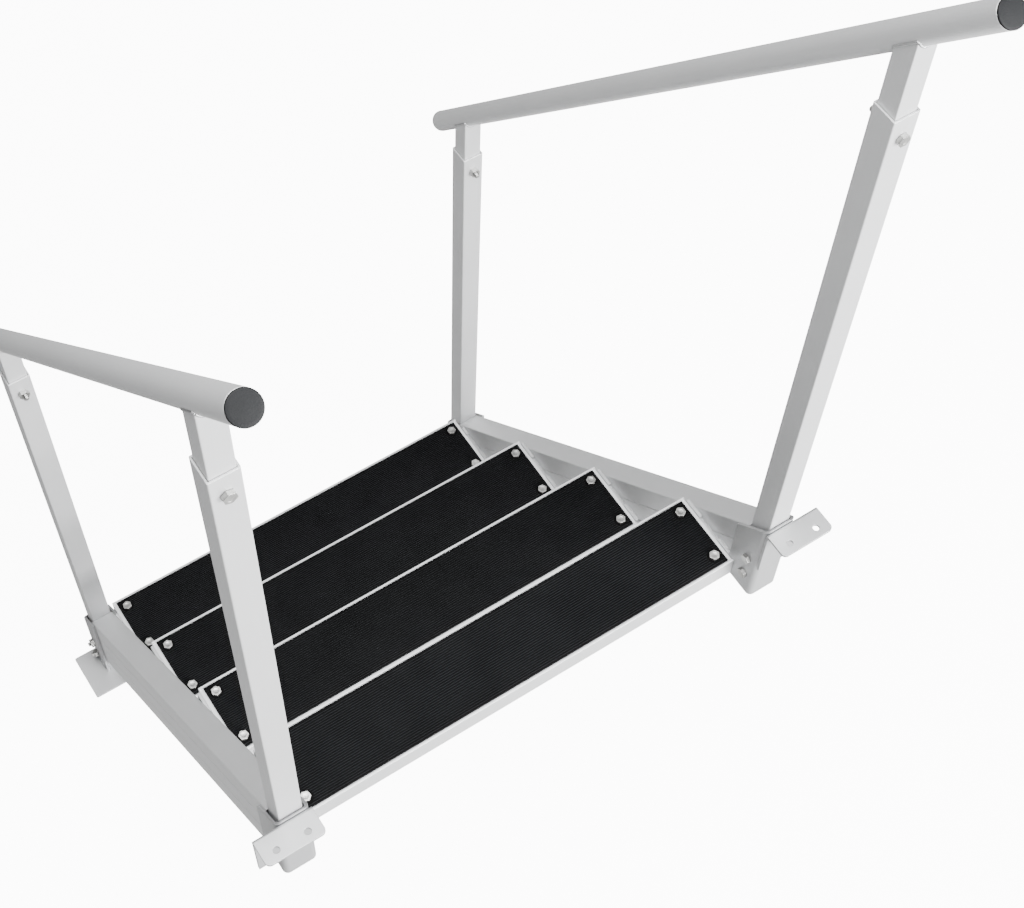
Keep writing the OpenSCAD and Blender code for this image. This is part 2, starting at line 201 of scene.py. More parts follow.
class StairColours(bpy.types.PropertyGroup):
    """Base colours of the finishes."""
    extrusion: bpy.props.FloatVectorProperty(
        name="Extrusion", description="Satin aluminium of tubes, treads and stringers",
        default=(0.70, 0.706, 0.712), subtype="COLOR", min=0, max=1)
    sheet: bpy.props.FloatVectorProperty(
        name="Sheet", description="Aluminium sheet of brackets and plates",
        default=(0.47, 0.476, 0.482), subtype="COLOR", min=0, max=1)
    zinc: bpy.props.FloatVectorProperty(
        name="Zinc", description="Bolts and nuts",
        default=(0.50, 0.50, 0.485), subtype="COLOR", min=0, max=1)
    weld: bpy.props.FloatVectorProperty(
        name="Weld", description="Weld beads",
        default=(0.52, 0.525, 0.53), subtype="COLOR", min=0, max=1)
    rubber: bpy.props.FloatVectorProperty(
        name="Rubber", description="Tread mats",
        default=(0.0007, 0.0007, 0.0008), subtype="COLOR", min=0, max=1)
    plastic: bpy.props.FloatVectorProperty(
        name="Caps", description="Handrail end caps",
        default=(0.0065, 0.007, 0.0078), subtype="COLOR", min=0, max=1)
    floor: bpy.props.FloatVectorProperty(
        name="Floor", description="Studio floor",
        default=(0.34, 0.34, 0.34), subtype="COLOR", min=0, max=1)


class StudioSettings(bpy.types.PropertyGroup):
    """Camera and lights."""
    eye: bpy.props.FloatVectorProperty(
        name="Camera", description="Place of the camera", default=(-0.627, -0.729, 2.153),
        subtype="XYZ", unit="LENGTH")
    aim: bpy.props.FloatVectorProperty(
        name="Aim", description="Point at the middle of the view", default=(0.272, 0.498, -0.411),
        subtype="XYZ", unit="LENGTH")
    roll: bpy.props.FloatProperty(
        name="Roll", description="Turn of the camera about its line of sight",
        default=math.radians(3.43), subtype="ANGLE")
    lens: bpy.props.FloatProperty(
        name="Lens", description="Focal length in millimetres", default=67.45, unit="CAMERA")
    key: bpy.props.FloatProperty(
        name="Key light", description="Power of the softbox at the deck end", default=600,
        unit="POWER")
    fill: bpy.props.FloatProperty(
        name="Fill light", description="Power of the softbox above the stair", default=330,
        unit="POWER")
    sky: bpy.props.FloatProperty(
        name="Sky", description="Strength of the even light all round", default=0.22, min=0)
    backdrop: bpy.props.FloatProperty(
        name="Backdrop glow", description="Brightness of the floor and sky where they are looked at",
        default=11.0, min=0)


def sizes():
    return bpy.context.scene.stair_sizes


def colours():
    return bpy.context.scene.stair_colours


def studio():
    return bpy.context.scene.stair_studio


# ---- Node helpers ------------------------------------------------------------------------------

def new_node(tree, kind, **values):
    """Adds a node; values that name one of its inputs are set on that input, others on the node."""
    node = tree.nodes.new(kind)
    for key, value in values.items():
        label = key.replace("_", " ")
        if label in node.inputs:
            node.inputs[label].default_value = value
        else:
            setattr(node, key, value)
    return node


def new_group(name, inputs, outputs):
    """A shader group with its inputs and outputs, and its two end nodes."""
    group = bpy.data.node_groups.new(name, "ShaderNodeTree")
    for label, kind, default in inputs:
        socket = group.interface.new_socket(label, in_out="INPUT", socket_type="NodeSocket" + kind)
        if default is not None:
            socket.default_value = default
    for label, kind in outputs:
        group.interface.new_socket(label, in_out="OUTPUT", socket_type="NodeSocket" + kind)
    return group, group.nodes.new("NodeGroupInput"), group.nodes.new("NodeGroupOutput")


def map_range(tree, socket, start, stop):
    """Spreads a value so that it goes from 0 at start to 1 at stop."""
    node = tree.nodes.new("ShaderNodeMapRange")
    node.inputs["From Min"].default_value = start
    node.inputs["From Max"].default_value = stop
    tree.links.new(socket, node.inputs["Value"])
    return node.outputs["Result"]


# ---- Effects shared by the finishes ------------------------------------------------------------

def make_speckle():
    """Fine blasted texture: a fleck from two sizes of noise, and a slow change of tone."""
    group, start, end = new_group(
        "satin speckle", [("Vector", "Vector", None), ("Grain", "Float", 850.0), ("Cloud", "Float", 9.0)],
        [("Fleck", "Float"), ("Tone", "Float")])
    link = group.links.new
    fine = new_node(group, "ShaderNodeTexNoise", Detail=3.0, Roughness=0.6)
    link(start.outputs["Vector"], fine.inputs["Vector"])
    link(start.outputs["Grain"], fine.inputs["Scale"])
    slow = new_node(group, "ShaderNodeTexNoise", Detail=4.0, Roughness=0.55)
    link(start.outputs["Vector"], slow.inputs["Vector"])
    link(start.outputs["Cloud"], slow.inputs["Scale"])
    link(map_range(group, fine.outputs["Fac"], 0.30, 0.70), end.inputs["Fleck"])
    link(slow.outputs["Fac"], end.inputs["Tone"])
    return group


def make_draw_lines():
    """Long faint lines that an extrusion die leaves; the vector's X runs along them."""
    group, start, end = new_group(
        "die lines", [("Vector", "Vector", None), ("Density", "Float", 900.0), ("Length", "Float", 0.012)],
        [("Lines", "Float")])
    link = group.links.new
    stretch = new_node(group, "ShaderNodeCombineXYZ", Y=1.0, Z=1.0)
    link(start.outputs["Length"], stretch.inputs["X"])
    squeezed = new_node(group, "ShaderNodeVectorMath", operation="MULTIPLY")
    link(start.outputs["Vector"], squeezed.inputs[0])
    link(stretch.outputs["Vector"], squeezed.inputs[1])
    noise = new_node(group, "ShaderNodeTexNoise", Detail=2.0, Roughness=0.7)
    link(squeezed.outputs["Vector"], noise.inputs["Vector"])
    link(start.outputs["Density"], noise.inputs["Scale"])
    link(noise.outputs["Fac"], end.inputs["Lines"])
    return group


def make_painted_edge_highlight():
    """Mask of edges for a painted highlight, and a rounded normal: where a bevelled normal leaves the true
    one.
    """
    group, start, end = new_group(
        "painted edge highlight", [("Vector", "Vector", None), ("Radius", "Float", 0.0012), ("Breakup", "Float", 160.0)],
        [("Edge", "Float"), ("Normal", "Vector")])
    link = group.links.new
    bevel = new_node(group, "ShaderNodeBevel", samples=6)
    link(start.outputs["Radius"], bevel.inputs["Radius"])
    geometry = group.nodes.new("ShaderNodeNewGeometry")
    dot = new_node(group, "ShaderNodeVectorMath", operation="DOT_PRODUCT")
    link(bevel.outputs["Normal"], dot.inputs[0])
    link(geometry.outputs["True Normal"], dot.inputs[1])
    noise = new_node(group, "ShaderNodeTexNoise", Detail=3.0)
    link(start.outputs["Vector"], noise.inputs["Vector"])
    link(start.outputs["Breakup"], noise.inputs["Scale"])
    both = new_node(group, "ShaderNodeMath", operation="MULTIPLY")
    link(map_range(group, dot.outputs["Value"], 0.995, 0.86), both.inputs[0])
    link(map_range(group, noise.outputs["Fac"], 0.35, 0.60), both.inputs[1])
    link(both.outputs["Value"], end.inputs["Edge"])
    link(bevel.outputs["Normal"], end.inputs["Normal"])
    return group


EFFECTS = {}


def placed(tree, name, vector, **values):
    """An effect in a material, at a place given by a vector; each effect's group is built once."""
    makers = {"speckle": make_speckle, "lines": make_draw_lines, "edge_highlight": make_painted_edge_highlight}
    if name not in EFFECTS:
        EFFECTS[name] = makers[name]()
    node = tree.nodes.new("ShaderNodeGroup")
    node.node_tree = EFFECTS[name]
    for key, value in values.items():
        node.inputs[key].default_value = value
    tree.links.new(vector, node.inputs["Vector"])
    return node


# ---- Finishes ----------------------------------------------------------------------------------

def blank_material(name, metallic, roughness):
    """A material, its tree, its shader and the coordinates of the piece it is on."""
    material = bpy.data.materials.new(name)
    material.use_nodes = True
    shader = material.node_tree.nodes["Principled BSDF"]
    shader.inputs["Metallic"].default_value = metallic
    shader.inputs["Roughness"].default_value = roughness
    coords = material.node_tree.nodes.new("ShaderNodeTexCoord")
    return material, material.node_tree, shader, coords.outputs["Object"]


def shade_of(colour, factor):
    return tuple(min(1.0, c * factor) for c in colour) + (1.0,)


def colour_mix(tree, factor, a, b):
    """Mix node for colours whose inputs may be sockets or plain colours."""
    mix = tree.nodes.new("ShaderNodeMix")
    mix.data_type = "RGBA"
    tree.links.new(factor, mix.inputs[0])
    for index, value in ((6, a), (7, b)):
        if isinstance(value, bpy.types.NodeSocket):
            tree.links.new(value, mix.inputs[index])
        else:
            mix.inputs[index].default_value = value
    return mix.outputs[2]


def remap(tree, socket, low, high, clamp=True):
    node = tree.nodes.new("ShaderNodeMapRange")
    node.clamp = clamp
    node.inputs["To Min"].default_value = low
    node.inputs["To Max"].default_value = high
    tree.links.new(socket, node.inputs["Value"])
    return node.outputs["Result"]


def bump(tree, shader, height, strength, distance, rounded=None):
    """Bump from a height, over the rounded normal of the edges where one is given."""
    node = new_node(tree, "ShaderNodeBump", Strength=strength, Distance=distance)
    if rounded:
        tree.links.new(rounded, node.inputs["Normal"])
    tree.links.new(height, node.inputs["Height"])
    tree.links.new(node.outputs["Normal"], shader.inputs["Normal"])


def satin_aluminium(name, colour, turn, roughness=0.52, lines=1.0):
    """Blasted or mill-finish aluminium; turn puts the die lines' run on the local X axis."""
    material, tree, shader, place = blank_material(name, 0.62, roughness)
    link = tree.links.new
    along = new_node(tree, "ShaderNodeMapping")
    along.inputs["Rotation"].default_value = turn
    link(place, along.inputs["Vector"])
    speckle = placed(tree, "speckle", place)
    drawn = placed(tree, "lines", along.outputs["Vector"])
    edge_highlight = placed(tree, "edge_highlight", place)
    base = colour_mix(tree, speckle.outputs["Tone"], shade_of(colour, 0.93), shade_of(colour, 1.06))
    flecked = colour_mix(tree, remap(tree, speckle.outputs["Fleck"], 0.0, 0.34), base,
                         shade_of(colour, 1.22))
    lined = colour_mix(tree, remap(tree, drawn.outputs["Lines"], 0.0, 0.24 * lines), flecked,
                       shade_of(colour, 0.80))
    # Painted highlight: edges lighter where the bevel mask finds them, broken up by noise.
    edge_highlighted = colour_mix(tree, remap(tree, edge_highlight.outputs["Edge"], 0.0, 0.75), lined, shade_of(colour, 1.45))
    link(edge_highlighted, shader.inputs["Base Color"])
    rough = new_node(tree, "ShaderNodeMath", operation="MULTIPLY_ADD")
    rough.inputs[1].default_value = 0.14
    rough.inputs[2].default_value = roughness - 0.05
    link(speckle.outputs["Fleck"], rough.inputs[0])
    link(rough.outputs["Value"], shader.inputs["Roughness"])
    height = new_node(tree, "ShaderNodeMath", operation="ADD")
    link(speckle.outputs["Fleck"], height.inputs[0])
    link(remap(tree, drawn.outputs["Lines"], 0.0, 0.6 * lines, clamp=False), height.inputs[1])
    bump(tree, shader, height.outputs["Value"], 0.22, 0.00015, edge_highlight.outputs["Normal"])
    return material


def bright_zinc():
    """Zinc plating: bright, slightly warm, with soft smears and a painted highlight on the corners."""
    colour = tuple(colours().zinc)
    material, tree, shader, place = blank_material("bright_zinc", 1.0, 0.26)
    link = tree.links.new
    speckle = placed(tree, "speckle", place, Grain=900.0, Cloud=120.0)
    edge_highlight = placed(tree, "edge_highlight", place, Radius=0.0006, Breakup=700.0)
    base = colour_mix(tree, speckle.outputs["Tone"], shade_of(colour, 0.86), shade_of(colour, 1.12))
    # Painted highlight: corners and edges lighter, from the bevel mask.
    edge_highlighted = colour_mix(tree, remap(tree, edge_highlight.outputs["Edge"], 0.0, 0.6), base, shade_of(colour, 1.22))
    link(edge_highlighted, shader.inputs["Base Color"])
    link(remap(tree, speckle.outputs["Tone"], 0.24, 0.46), shader.inputs["Roughness"])
    bump(tree, shader, speckle.outputs["Fleck"], 0.12, 0.0001, edge_highlight.outputs["Normal"])
    return material


def weld_metal():
    """Weld bead: bright metal whose tone changes at random from dull to bright."""
    colour = tuple(colours().weld)
    material, tree, shader, place = blank_material("weld_metal", 0.9, 0.42)
    link = tree.links.new
    speckle = placed(tree, "speckle", place, Grain=1800.0, Cloud=300.0)
    link(colour_mix(tree, speckle.outputs["Tone"], shade_of(colour, 0.72), shade_of(colour, 1.20)),
         shader.inputs["Base Color"])
    link(remap(tree, speckle.outputs["Fleck"], 0.32, 0.55), shader.inputs["Roughness"])
    bump(tree, shader, speckle.outputs["Fleck"], 0.25, 0.0002)
    return material


def mat_rubber():
    """Ribbed rubber: near black, a little dusty, with a painted highlight on the rib edges and painted
    light on the rib flanks that face the key softbox.
    """
    colour = tuple(colours().rubber)
    material, tree, shader, place = blank_material("mat_rubber", 0.0, 0.62)
    shader.inputs["Specular IOR Level"].default_value = 0.06
    link = tree.links.new
    speckle = placed(tree, "speckle", place, Grain=2200.0, Cloud=14.0)
    edge_highlight = placed(tree, "edge_highlight", place, Radius=0.0005, Breakup=18.0)
    dusty = colour_mix(tree, remap(tree, speckle.outputs["Tone"], 0.0, 0.45), shade_of(colour, 1.0),
                       (0.0016, 0.0016, 0.0018, 1.0))
    geometry = tree.nodes.new("ShaderNodeNewGeometry")
    split = tree.nodes.new("ShaderNodeSeparateXYZ")
    link(geometry.outputs["True Normal"], split.inputs["Vector"])
    # Painted light: flanks of the ribs that face -Y, towards the key softbox, made lighter.
    key_lit_flanks = colour_mix(tree, map_range(tree, split.outputs["Y"], -0.3, -0.9), dusty,
                         (0.016, 0.017, 0.0185, 1.0))
    # Painted highlight: rib edges lighter, from the bevel mask.
    highlit_edges = colour_mix(tree, remap(tree, edge_highlight.outputs["Edge"], 0.0, 0.6), key_lit_flanks,
                        (0.020, 0.021, 0.0225, 1.0))
    link(highlit_edges, shader.inputs["Base Color"])
    link(remap(tree, speckle.outputs["Tone"], 0.48, 0.72), shader.inputs["Roughness"])
    bump(tree, shader, speckle.outputs["Fleck"], 0.05, 0.0001)
    return material


def cap_plastic():
    """Moulded charcoal plastic with a fine leather-like grain."""
    colour = tuple(colours().plastic)
    material, tree, shader, place = blank_material("cap_plastic", 0.0, 0.5)
    shader.inputs["Specular IOR Level"].default_value = 0.16
    link = tree.links.new
    cells = new_node(tree, "ShaderNodeTexVoronoi", Scale=1100.0)
    link(place, cells.inputs["Vector"])
    speckle = placed(tree, "speckle", place, Grain=1500.0, Cloud=70.0)
    edge_highlight = placed(tree, "edge_highlight", place, Radius=0.0006, Breakup=300.0)
    base = colour_mix(tree, speckle.outputs["Tone"], shade_of(colour, 0.82), shade_of(colour, 1.2))
    # Painted highlight: the cap's rim lighter, from the bevel mask.
    edge_highlighted = colour_mix(tree, remap(tree, edge_highlight.outputs["Edge"], 0.0, 0.35), base, shade_of(colour, 2.0))
    link(edge_highlighted, shader.inputs["Base Color"])
    link(remap(tree, speckle.outputs["Tone"], 0.42, 0.62), shader.inputs["Roughness"])
    bump(tree, shader, cells.outputs["Distance"], 0.35, 0.0002)
    return material


def assign(node, material):
    for slot in NODES[node].material_slots:
        slot.material = material


# ---- Modelling helpers -------------------------------------------------------------------------

def active():
    return bpy.context.view_layer.objects.active


def remove(piece):
    bpy.data.objects.remove(piece, do_unlink=True)


def deselect():
    for each in bpy.context.selected_objects:
        each.select_set(False)


def only(piece):
    deselect()
    piece.select_set(True)
    bpy.context.view_layer.objects.active = piece


def bake_place(piece):
    """Leaves the object at the origin, unturned and unscaled, with its place in its mesh."""
    only(piece)
    bpy.ops.object.transform_apply(location=True, rotation=True, scale=True)


def finish_piece(piece, name, material, body):
    """Names a piece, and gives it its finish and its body."""
    bake_place(piece)
    piece.name = name
    piece.data.name = name
    piece.data.materials.clear()
    piece.data.materials.append(material)
    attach(piece, body)
    return piece


def joined(parts, name):
    """One object made of several."""
    deselect()
    for part in parts:
        part.select_set(True)
    bpy.context.view_layer.objects.active = parts[0]
    bpy.ops.object.join()
    active().name = name
    return active()


def edit(piece, select="SELECT"):
    """Goes to edit mode with all faces of a piece selected, or none."""
    only(piece)
    bpy.ops.object.mode_set(mode="EDIT")
    bpy.ops.mesh.select_mode(type="FACE")
    bpy.ops.mesh.select_all(action=select)


def pick_faces(piece, test):
    """Goes to edit mode with only the faces selected whose normal passes a test."""
    edit(piece, "DESELECT")
    leave_edit()
    for face in piece.data.polygons:
        face.select = test(face.normal)
    bpy.ops.object.mode_set(mode="EDIT")


def leave_edit():
    bpy.ops.object.mode_set(mode="OBJECT")


def apply_all(piece):
    only(piece)
    for modifier in list(piece.modifiers):
        bpy.ops.object.modifier_apply(modifier=modifier.name)


def cylinder(radius, low, high, sides=48):
    """A closed cylinder on the Z axis between two heights."""
    deselect()
    bpy.ops.mesh.primitive_cylinder_add(
        vertices=sides, radius=radius, depth=high - low, location=(0, 0, (low + high) / 2))
    bake_place(active())
    return active()


def cut(piece, tool, operation):
    """Boolean of two pieces; the tool is deleted."""
    modifier = piece.modifiers.new("cut", "BOOLEAN")
    modifier.operation = operation
    modifier.solver = "EXACT"
    modifier.object = tool
    apply_all(piece)
    remove(tool)
    return piece


def smooth_by_angle(piece, degrees):
    only(piece)
    bpy.ops.object.shade_smooth_by_angle(angle=math.radians(degrees))


def bevelled(piece, width, segments):
    """Rounds the sharp edges of a piece."""
    modifier = piece.modifiers.new("bevel", "BEVEL")
    modifier.width = width
    modifier.segments = segments
    modifier.limit_method = "ANGLE"
    modifier.angle_limit = math.radians(30)
    apply_all(piece)
    return piece


def solid_boxes(node):
    """Lowest and highest corners of each separate solid in a CAD node."""
    only(NODES[node])
    bpy.ops.object.duplicate()
    edit(active())
    bpy.ops.mesh.remove_doubles(threshold=1e-6)
    bpy.ops.mesh.separate(type="LOOSE")
    leave_edit()
    boxes = []
    for part in list(bpy.context.selected_objects):
        points = [part.matrix_world @ vertex.co for vertex in part.data.vertices]
        boxes.append((Vector(map(min, zip(*points))), Vector(map(max, zip(*points)))))
        remove(part)
    return sorted(boxes, key=lambda box: tuple(round(value, 4) for value in box[0]))


def copies(model, places):
    """Copies of a model, one for each place and turn, joined into one mesh."""
    parts = []
    for place, turn in places:
        only(model)
        bpy.ops.object.duplicate()
        part = active()
        part.rotation_mode = "QUATERNION"
        part.location = place
        part.rotation_quaternion = turn
        parts.append(part)
    return joined(parts, model.name + "_set")


def facing(direction, spin=0.0):
    """Turn that brings +Z to a direction, after a spin about it."""
    return UP.rotation_difference(direction) @ Quaternion(UP, spin)


# ---- Fastener models ---------------------------------------------------------------------------

def chamfer_tool(height, below):
    """Wide cone that trims the corners of a hexagon at one end."""
    flat, past = sizes().across_flats * HEX_FLAT, 0.001
    slope = math.tan(CHAMFER)
    narrow, wide = flat - past / slope, flat + (height + past) / slope
    deselect()
    bpy.ops.mesh.primitive_cone_add(
        vertices=64, radius1=narrow if below else wide, radius2=wide if below else narrow,
        depth=height + 2 * past, location=(0, 0, height / 2))
    bake_place(active())
    return active()


def hexagon(height, chamfer_below):
    """Hexagon standing on Z = 0, its corners chamfered at the top, and below where asked."""
    prism = cylinder(sizes().across_flats / 2 / math.cos(math.radians(30)), 0, height, 6)
    cut(prism, chamfer_tool(height, False), "INTERSECT")
    if chamfer_below:
        cut(prism, chamfer_tool(height, True), "INTERSECT")
    return prism


def thread(low, high):
    """Core with a helical ridge round it, between two heights on the Z axis."""
    pitch, outer = sizes().thread_pitch, sizes().shank / 2
    core = bevelled(cylinder(outer - pitch * THREAD_DEPTH, low, high, 24), pitch * 0.4, 1)
    ridge_radius = pitch * RIDGE_RADIUS
    deselect()
    bpy.ops.mesh.primitive_circle_add(
        vertices=3, radius=ridge_radius, location=(outer - ridge_radius, 0, low + pitch),
        rotation=(math.radians(90), math.radians(90), 0))
    ridge = active()
    bake_place(ridge)
    screw = ridge.modifiers.new("screw", "SCREW")
    screw.steps = screw.render_steps = 20
    screw.iterations = max(1, int((high - low - pitch * 1.5) / pitch))
    screw.screw_offset = pitch
    apply_all(ridge)
    edit(ridge)
    bpy.ops.mesh.fill_holes(sides=4)
    bpy.ops.mesh.select_all(action="SELECT")
    bpy.ops.mesh.normals_make_consistent(inside=False)
    leave_edit()
    return joined([core, ridge], "thread")


def bolt(length, stub):
    """Hexagon bolt, its head's underside at Z = 0: dished head, washer face, shank, threaded stub."""
    height, flats = sizes().head_height, sizes().across_flats
    washer = height * WASHER_FACE
    head = hexagon(height - washer, False)
    dish = cylinder(flats * DISH_RADIUS, height * DISH_FLOOR, height * 1.5, 32)
    pick_faces(dish, lambda normal: normal.z < -0.9)
    bpy.ops.mesh.inset(thickness=flats * DISH_INSET, depth=0)
    bpy.ops.transform.translate(value=(0, 0, -height * DISH_SINK))
    leave_edit()
    cut(head, dish, "DIFFERENCE")
    head.location = (0, 0, washer)
    bake_place(head)
    seat = bevelled(cylinder(flats * WASHER_RADIUS, 0, washer * 1.5), washer * 0.3, 1)
    shank = cylinder(sizes().shank / 2, stub - length, washer, 32)
    model = joined([head, seat, shank, thread(-length, stub - length)], "bolt_model")
    smooth_by_angle(model, 28)
    return model


def nut():
    """Hexagon nut standing on Z = 0, chamfered at both faces, with a plain bore."""
    height, bore = sizes().nut_height, sizes().shank / 2 * BORE
    body = cut(hexagon(height, True), cylinder(bore, -height, 2 * height, 32), "DIFFERENCE")
    body.name = "nut_model"
    smooth_by_angle(body, 28)
    return body


def head_place(box, towards):
    """Where the underside of a bolt's head is and how long the rest is, from its box and direction."""
    low, high = box
    half = Vector(abs(a) for a in towards).dot(high - low) / 2
    return (low + high) / 2 + towards * (half - sizes().head_height), 2 * half - sizes().head_height


def upwards(middle):
    return UP


def inwards(middle):
    return Vector((-math.copysign(1, middle.x), 0, 0))


def endwards(middle):
    """Towards the nearer end of the stair."""
    return Vector((0, 1 if middle.y > (cad_low.y + cad_high.y) / 2 else -1, 0))


def spin_of(index, spin):
    step, first = spin
    return math.radians(step * index + first)


def stand_in(node, model, places, name, zinc):
    """Copies of a model in place of the solids of a CAD node."""
    piece = copies(model, places)
    remove(model)
    finish_piece(piece, name, zinc, body_of(NODES[node])[0])
    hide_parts(node)


def set_bolts(node, towards_of, stub, name, zinc):
    """Puts a detailed bolt in the place of every bolt of a CAD node."""
    places = []
    for index, box in enumerate(solid_boxes(node)):
        towards = towards_of((box[0] + box[1]) / 2)
        place, length = head_place(box, towards)
        places.append((place, facing(towards, spin_of(index, BOLT_SPIN))))
    stand_in(node, bolt(length, stub), places, name, zinc)


def set_nuts(node, towards_of, name, zinc):
    """Puts a detailed nut in the place of every nut of a CAD node, against its bolt's direction."""
    places = []
    for index, box in enumerate(solid_boxes(node)):
        middle = (box[0] + box[1]) / 2
        towards = -towards_of(middle)
        places.append((middle - towards * sizes().nut_height / 2,
                       facing(towards, spin_of(index, NUT_SPIN))))
    stand_in(node, nut(), places, name, zinc)


# ---- Weld beads --------------------------------------------------------------------------------

def ripple(width):
    """One ripple of a bead, its Z axis along the bead."""
    deselect()
    bpy.ops.mesh.primitive_uv_sphere_add(segments=10, ring_count=6, radius=width / 2)
    model = active()
    model.scale = (1, 1, sizes().weld_pitch * RIPPLE_LENGTH / (width / 2))
    bake_place(model)
    model.name = "ripple_model"
    only(model)
    bpy.ops.object.shade_smooth()
    return model


def straight_bead(start, end, width):
    """Ripples in a row from one point to another."""
    start, end = Vector(start), Vector(end)
    run = end - start
    model = ripple(width)
    model.rotation_mode = "QUATERNION"
    model.rotation_quaternion = facing(run.normalized())
    model.location = start
    bake_place(model)
    row = model.modifiers.new("row", "ARRAY")
    row.use_relative_offset = False
    row.use_constant_offset = True
    row.constant_offset_displace = run.normalized() * sizes().weld_pitch
    row.count = max(2, int(run.length / sizes().weld_pitch))
    apply_all(model)
    return model


def saddle_points(axis_point, half):
    """Points round a square post where it meets the sloping rail from below, with outward normals."""
    reach = min(half, RAIL_RADIUS * SADDLE_REACH)
    points = []
    for turn in range(4):
        out = Vector((math.cos(turn * math.pi / 2), math.sin(turn * math.pi / 2), 0))
        side = Vector((-out.y, out.x, 0))
        for step in range(-20, 21):
            point = out * reach + side * (reach - POST_CORNER) * step / 20
            drop = math.sqrt(max(0.0, RAIL_RADIUS ** 2 - point.x ** 2))
            point.z = (-drop - point.y * math.sin(RAIL_PITCH)) / math.cos(RAIL_PITCH)
            points.append((axis_point + point, Vector((out.x, out.y, -SADDLE_LEAN)).normalized()))
    return points


def bead_round(points, width):
    """Ripples along a closed row of points, evenly spaced."""
    pitch, places, carried = sizes().weld_pitch, [], 0.0
    for (here, out), (ahead, _) in zip(points, points[1:] + points[:1]):
        run = ahead - here
        at = carried
        while at < run.length:
            places.append((here + run.normalized() * at + out * width * BEAD_PROUD,
                           facing(run.normalized())))
            at += pitch
        carried = at - run.length
    model = ripple(width)
    bead = copies(model, places)
    remove(model)
    return bead


# ---- Studio ------------------------------------------------------------------------------------

def seen_glow(tree, otherwise):
    """The backdrop's glow where it is looked at, and another strength where it lights the stair."""
    path = tree.nodes.new("ShaderNodeLightPath")
    return remap(tree, path.outputs["Is Camera Ray"], otherwise, studio().backdrop)


def add_floor():
    deselect()
    bpy.ops.mesh.primitive_plane_add(size=FLOOR_SIZE, location=(0, 0, GROUND))
    floor = active()
    floor.name = "studio_floor"
    material, tree, shader, place = blank_material("studio_floor", 0.0, 0.9)
    speckle = placed(tree, "speckle", place, Grain=60.0, Cloud=0.6)
    tint = tuple(colours().floor)
    tree.links.new(colour_mix(tree, speckle.outputs["Tone"], shade_of(tint, 0.99), shade_of(tint, 1.01)),
                   shader.inputs["Base Color"])
    shader.inputs["Emission Color"].default_value = (1.0, 1.0, 1.0, 1.0)
    tree.links.new(seen_glow(tree, 0.0), shader.inputs["Emission Strength"])
    floor.data.materials.append(material)


def add_softbox(name, place, target, size, power):
    deselect()
    bpy.ops.object.light_add(type="AREA", location=place)
    light = active()
    light.name = name
    light.data.shape = "RECTANGLE"
    light.data.size, light.data.size_y = size
    light.data.energy = power
    light.rotation_euler = (Vector(target) - Vector(place)).to_track_quat("-Z", "Y").to_euler()


def add_camera():
    deselect()
    eye, aim = Vector(studio().eye), Vector(studio().aim)
    bpy.ops.object.camera_add(location=eye)
    camera = active()
    camera.name = "studio_camera"
    level = (aim - eye).to_track_quat("-Z", "Y")
    camera.rotation_euler = (level @ Quaternion(UP, studio().roll)).to_euler()
    camera.data.lens = studio().lens
    camera.data.dof.use_dof = False
    camera.data.clip_end = 100
    bpy.context.scene.camera = camera


def set_sky():
    world = bpy.data.worlds.new("studio_sky")
    world.use_nodes = True
    background = world.node_tree.nodes["Background"]
    background.inputs["Color"].default_value = (1.0, 1.0, 1.0, 1.0)
    world.node_tree.links.new(seen_glow(world.node_tree, studio().sky), background.inputs["Strength"])
    bpy.context.scene.world = world


# ---- Operators ---------------------------------------------------------------------------------

class STAIR_OT_extrusions(bpy.types.Operator):
    """Satin aluminium for the tubes, treads, stringers and handrails, its lines along each part"""
    bl_idname = "stair.extrusions"
    bl_label = "Finish extrusions"

    def execute(self, context):
        colour = tuple(colours().extrusion)
        upright = satin_aluminium("satin_upright", colour, (0.0, math.radians(90), 0.0))
        across = satin_aluminium("satin_across", colour, (0.0, 0.0, 0.0))
        sloped = satin_aluminium("satin_stringer", colour, (STAIR_PITCH, 0.0, math.radians(90)))
        railed = satin_aluminium("satin_rail", colour, (RAIL_PITCH, 0.0, math.radians(90)), lines=0.6)
        for side in SIDES:
            assign("stringer_" + side, sloped)
            assign("handrail_" + side, railed)
            for end in ENDS:
                assign(f"lower_tube_{end}_{side}", upright)
                assign(f"upper_tube_{end}_{side}", upright)
        for step in STEPS:
            assign(f"tread_{step}", across)
        return {"FINISHED"}


class STAIR_OT_sheet_parts(bpy.types.Operator):
    """Slightly duller aluminium sheet for the brackets, hangers, feet and tread ledges"""
    bl_idname = "stair.sheet_parts"
    bl_label = "Finish sheet parts"

    def execute(self, context):
        sheet = satin_aluminium("satin_sheet", tuple(colours().sheet), (0.0, 0.0, 0.0),
                                roughness=0.50, lines=0.4)
        for side in SIDES:
            for part in ("top_bracket_", "foot_bracket_", "hanger_", "foot_plate_"):
                assign(part + side, sheet)
            for step in STEPS:
                assign(f"ledge_{side}_{step}", sheet)
        return {"FINISHED"}


class STAIR_OT_mats(bpy.types.Operator):
    """Black ribbed rubber for the tread mats"""
    bl_idname = "stair.mats"
    bl_label = "Finish mats"

    def execute(self, context):
        rubber = mat_rubber()
        for step in STEPS:
            assign(f"mat_{step}", rubber)
        return {"FINISHED"}


